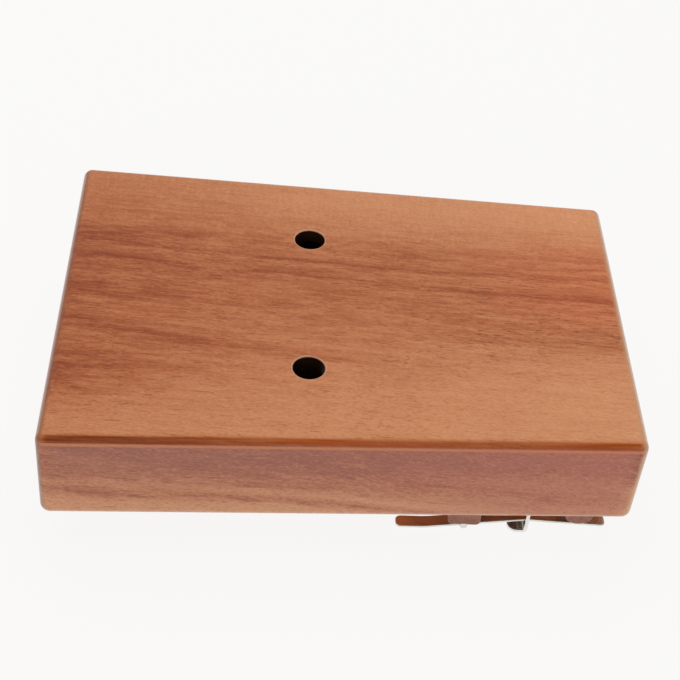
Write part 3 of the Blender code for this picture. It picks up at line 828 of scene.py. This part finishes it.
def makePressureBar():
    size = pressureBar
    low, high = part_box("pressure_bar")
    tall, foot = frontZ - low.z, frontZ - high.z
    thick, bend = size["thickness"], size["bendRadius"]
    section = roundedPath([(low.x, tall, 0), (low.x, tall - thick, 0), (high.x - thick, tall - thick, bend),
                           (high.x - thick, foot, 0), (high.x, foot, 0), (high.x, tall, bend + thick)],
                          size["bendSteps"])
    piece = meshObject("pressure_plate", prism(section, low.y, high.y, across))
    corner, past = size["cornerRadius"], high.x + size["planPast"]
    plan = roundedPath([(low.x, low.y, corner), (past, low.y, 0), (past, high.y, 0), (low.x, high.y, corner)],
                       size["cornerSteps"])
    carve(piece, [prism(plan, *size["planReach"], upright)], "INTERSECT")
    inner, notch = high.y - size["lugWidth"], size["notchRadius"]
    edge = tineRun["pressedHeight"] + thick / 2 * math.tan(bladeSlope)  # where the web meets the tines
    edge += tineRun["thickness"] / math.cos(bladeSlope) + tineRun["clearance"]
    root = -size["notchRoot"]
    opening = roundedPath([(-inner, root, 0), (inner, root, 0), (inner, edge, notch), (-inner, edge, notch)],
                          size["notchSteps"])
    through = lambda y, h, x: (x, y, frontZ - h)
    carve(piece, [prism(opening, high.x - thick - size["notchPast"], high.x + overshoot, through)])
    softenEdges(piece, size["easing"])
    smoothShade(piece)
    dress(piece, steelMaterials["bar"], "bar_steel", "pressure_bar")
    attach(piece, "body")


def threadRing(step, length, place):
    size, ring = barScrew, []
    run = (length - size["headHeight"]) * size["threadShare"] * step / size["threadSteps"]
    for k in range(size["sides"]):
        phase = (run / size["pitch"] + k / size["sides"]) % 1.0
        groove = abs(2 * phase - 1) ** size["threadPower"] * min(1.0, step / size["runIn"])
        radius, angle = size["shankRadius"] - size["threadDepth"] * groove, 2 * math.pi * k / size["sides"]
        ring.append(place(radius * math.cos(angle), radius * math.sin(angle), size["headHeight"] + run))
    return ring


def crossCutter(angle, place):
    size = barScrew
    long, wide, cos, sin = size["crossLength"] / 2, size["crossWidth"] / 2, math.cos(angle), math.sin(angle)
    outline = [Vector((u * cos - v * sin, u * sin + v * cos))
               for u, v in ((-long, -wide), (long, -wide), (long, wide), (-long, wide))]
    tip = [corner * size["crossTaper"] for corner in outline]
    return loft([[place(p.x, p.y, -size["crossRise"]) for p in outline],
                 [place(p.x, p.y, size["crossDepth"]) for p in tip]])


def makeScrew(number):
    size, node = barScrew, "bar_screw_%d" % number
    low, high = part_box(node)
    x, y, length = (low.x + high.x) / 2, (low.y + high.y) / 2, high.z - low.z
    place = lambda u, v, w: (x + u, y + v, low.z + w)
    wide, under, crown, rim = [size[key] for key in ("headRadius", "headHeight", "headRound", "rimEasing")]
    head = [(0, 0)] + quarterRound(wide - crown, crown, crown, -90, 0, size["roundSteps"])
    head += [(wide, under - rim), (wide - rim, under)]
    rings = [circle(radius, along, size["sides"], place) for radius, along in head]
    rings += [threadRing(step, length, place) for step in range(size["threadSteps"] + 1)]
    point = [(size["shankRadius"] * size["pointShare"], length * size["pointStart"]), (0, length)]
    rings += [circle(radius, along, size["sides"], place) for radius, along in point]
    piece = meshObject("screw_%d" % number, loft(rings))
    for turn in (0, 90):
        angle = math.radians(turn + size["crossTurn"] + size["turnBetween"] * number)
        carve(piece, [crossCutter(angle, place)])
    smoothShade(piece, angle=40)
    dress(piece, steelMaterials["screw"], "screw_steel", node)
    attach(piece, "body")


makePressureBar()
for number in range(1, 5):
    makeScrew(number)
print("pressure bar and screws made")


# tines: bent spring steel strips, clamped at the tail, free to flex past the saddle rod

tineShape = dict(
    width=0.0041, tipWidth=0.0045, tipRound=0.0018, tailRound=0.0013, roundSteps=6,
    edgeRound=0.00028, edgeSteps=4, mostEdge=0.98,
    pressRadius=0.004, riseLength=0.012, riseRadius=0.03, bendSteps=10, tipSlope=1.6, flexShare=0.6,
    spacing=0.0011, leastSpacing=2e-6, tailClear=0.002, tipClear=0.0022)


def tinePath(tipX, tailX, rodX):
    shape, press = tineShape, tineRun["pressedHeight"]
    riseX = rodX - shape["riseLength"]
    riseH = press + (webX - riseX) * math.tan(bladeSlope)
    corners = [(tailX, press + (tailX - webX) * math.tan(tailSlope), 0), (webX, press, shape["pressRadius"]),
               (riseX, riseH, shape["riseRadius"]),
               (tipX, riseH + (riseX - tipX) * math.tan(math.radians(shape["tipSlope"])), 0)]
    return roundedPath(corners, shape["bendSteps"], closed=False)


def roundedEnd(distance, radius):
    if distance >= radius:
        return 0.0
    return radius - math.sqrt(max(0.0, radius ** 2 - (radius - distance) ** 2))


def tineStations(runs):
    # places along the strip for its rings: close at the rounded ends, and at every point of the path
    shape, total, steps = tineShape, runs[-1], tineShape["roundSteps"]
    shares = [1 - math.cos(math.radians(90 * k / steps)) for k in range(steps + 1)]
    stations = {0.0, total}
    stations.update(shape["tailRound"] * share for share in shares)
    stations.update(total - shape["tipRound"] * share for share in shares)
    stations.update(total - shape["edgeRound"] * share for share in shares[::2])
    count = round(total / shape["spacing"])
    for run in [total * k / count for k in range(1, count)] + runs:
        if shape["tailClear"] < run < total - shape["tipClear"]:
            stations.add(run)
    stations = sorted(stations)
    return [s for i, s in enumerate(stations) if i == 0 or s - stations[i - 1] > shape["leastSpacing"]]


def tineRing(spot, along, y, halfWide, halfThick):
    shape, thick = tineShape, tineRun["thickness"]
    edge = min(shape["edgeRound"], halfThick * shape["mostEdge"], halfWide * shape["mostEdge"])
    outward = Vector((along.y, -along.x))  # away from the sound board
    centre, ring = spot + outward * thick / 2, []
    for cu, cv, start in ((1, 1, 0), (-1, 1, 90), (-1, -1, 180), (1, -1, 270)):
        cornerU, cornerV = cu * (halfWide - edge), cv * (halfThick - edge)
        for u, v in quarterRound(cornerU, cornerV, edge, start, start + 90, shape["edgeSteps"]):
            ring.append((centre.x + outward.x * v, y + u, frontZ - centre.y - outward.y * v))
    return ring


def makeTine(number):
    shape, node = tineShape, "tine_%02d" % number
    low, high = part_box(node)
    rodLow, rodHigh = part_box("saddle_rod")
    rodX, y = (rodLow.x + rodHigh.x) / 2, (low.y + high.y) / 2
    path = tinePath(low.x, high.x, rodX)
    runs = [0.0]
    for a, b in zip(path, path[1:]):
        runs.append(runs[-1] + (b - a).length)
    total, rings = runs[-1], []
    for s in tineStations(runs):
        i = max(k for k in range(len(runs) - 1) if runs[k] <= s)
        spot = path[i].lerp(path[i + 1], (s - runs[i]) / (runs[i + 1] - runs[i]))
        flare = min(1.0, max(0.0, (rodX - spot.x) / (rodX - low.x)))
        halfWide = (shape["width"] + (shape["tipWidth"] - shape["width"]) * flare) / 2
        halfWide -= roundedEnd(total - s, shape["tipRound"]) + roundedEnd(s, shape["tailRound"])
        halfThick = tineRun["thickness"] / 2
        halfThick -= roundedEnd(total - s, shape["edgeRound"]) + roundedEnd(s, shape["edgeRound"])
        rings.append(tineRing(spot, (path[i + 1] - path[i]).normalized(), y, halfWide, halfThick))
    piece = meshObject("blade_%02d" % number, loft(rings))
    smoothShade(piece, angle=40)
    dress(piece, steelMaterials["tine"], "tine_steel", node)
    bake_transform(piece)


for number in range(1, 18):
    makeTine(number)
print("tines made")


# stage: camera at the photograph's view, pale floor, a soft sky that is dark towards the camera's side,
# a lamp overhead, a fill in front and a weak light table below

cameraView = dict(lens=81.0, sensor=36.0, nearest=0.01, place=(-0.0304, -0.3770, 0.3759),
                  target=(-0.0006, -0.0003, 0.03), roll=5.86)
studio = dict(floorColor=(0.962, 0.956, 0.947), floorAlbedo=(0.86, 0.86, 0.85), shadowShare=0.06,
              floorSize=6.0, floorGap=0.0003,
              skyLevel=0.42, skyDark=0.03, darkSide=(0.0, -0.68, 0.73), darkRange=(0.77, 0.93),
              # watts, size, place, aim
              lamps=dict(overhead=(9.8, (1.2, 1.2), (-0.1, 0.35, 1.1), (0.1, -0.35, -1.1)),
                         frontFill=(5.5, (1.4, 0.7), (0.0, -1.2, 0.5), (0.0, 1.2, -0.5)),
                         lightTable=(0.06, (0.17, 0.12), (0.0, 0.0, -0.0001), (0.0, 0.0, 1.0))))


def addCamera():
    place = Vector(cameraView["place"])
    level = (Vector(cameraView["target"]) - place).to_track_quat("-Z", "Y")
    data = bpy.data.cameras.new("photoCamera")
    data.lens, data.sensor_width, data.clip_start = [cameraView[key] for key in ("lens", "sensor", "nearest")]
    camera = bpy.data.objects.new("photoCamera", data)
    camera.location = place
    camera.rotation_euler = (level @ Quaternion((0, 0, 1), math.radians(cameraView["roll"]))).to_euler()
    scene.collection.objects.link(camera)
    scene.camera = camera


def addFloor():
    half = studio["floorSize"] / 2
    mesh = bpy.data.meshes.new("floor")
    corners = [(-half, -half, 0), (half, -half, 0), (half, half, 0), (-half, half, 0)]
    mesh.from_pydata(corners, [], [(0, 1, 2, 3)])
    floor = bpy.data.objects.new("floor", mesh)
    floor.location.z = -studio["floorGap"]
    scene.collection.objects.link(floor)
    material = bpy.data.materials.new("floorPaper")
    material.use_nodes = True
    tree = material.node_tree
    tree.nodes.clear()
    path = addNode(tree, "LightPath").outputs
    seen = calc(tree, "MAXIMUM", path["Is Camera Ray"], path["Is Glossy Ray"])
    seen = calc(tree, "MAXIMUM", seen, path["Is Transmission Ray"])
    paper = addNode(tree, "BsdfDiffuse", {"Color": (*studio["floorAlbedo"], 1)}).outputs[0]
    glow = addNode(tree, "Emission", {"Color": (*studio["floorColor"], 1), "Strength": 1.0}).outputs[0]
    share = times(tree, seen, 1 - studio["shadowShare"])
    lit = addNode(tree, "MixShader", {0: share, 1: paper, 2: glow}).outputs[0]
    clear = addNode(tree, "BsdfTransparent").outputs[0]
    under = addNode(tree, "NewGeometry").outputs["Backfacing"]  # the floor hides nothing from below
    shown = addNode(tree, "MixShader", {0: under, 1: lit, 2: clear}).outputs[0]
    tree.links.new(shown, addNode(tree, "OutputMaterial").inputs["Surface"])
    mesh.materials.append(material)


def addLight():
    world = bpy.data.worlds.new("studio")
    scene.world = world
    world.use_nodes = True
    tree = world.node_tree
    tree.nodes.clear()
    way = addNode(tree, "TexCoord").outputs["Generated"]
    dark = Vector(studio["darkSide"]).normalized()
    facing = addNode(tree, "VectorMath", {0: way, 1: dark}, operation="DOT_PRODUCT").outputs["Value"]
    level = smooth(tree, facing, studio["darkRange"], studio["skyLevel"], studio["skyDark"])
    path = addNode(tree, "LightPath").outputs
    seen = calc(tree, "MAXIMUM", path["Is Camera Ray"], path["Is Transmission Ray"])
    level = mixValue(tree, seen, level, 1.0)
    back = addNode(tree, "Background", {"Color": (*studio["floorColor"], 1), "Strength": level}).outputs[0]
    tree.links.new(back, addNode(tree, "OutputWorld").inputs["Surface"])
    for name, (power, size, place, aim) in studio["lamps"].items():
        lamp = bpy.data.lights.new(name, "AREA")
        lamp.energy, lamp.shape = power, "RECTANGLE"
        lamp.size, lamp.size_y = size
        holder = bpy.data.objects.new(name, lamp)
        holder.location = place
        holder.rotation_euler = Vector(aim).to_track_quat("-Z", "Y").to_euler()
        holder.visible_camera = holder.visible_glossy = False  # no lamp is mirrored in the lacquer
        scene.collection.objects.link(holder)


addCamera()
addFloor()
addLight()
scene.view_settings.view_transform = "Standard"
print("stage set")
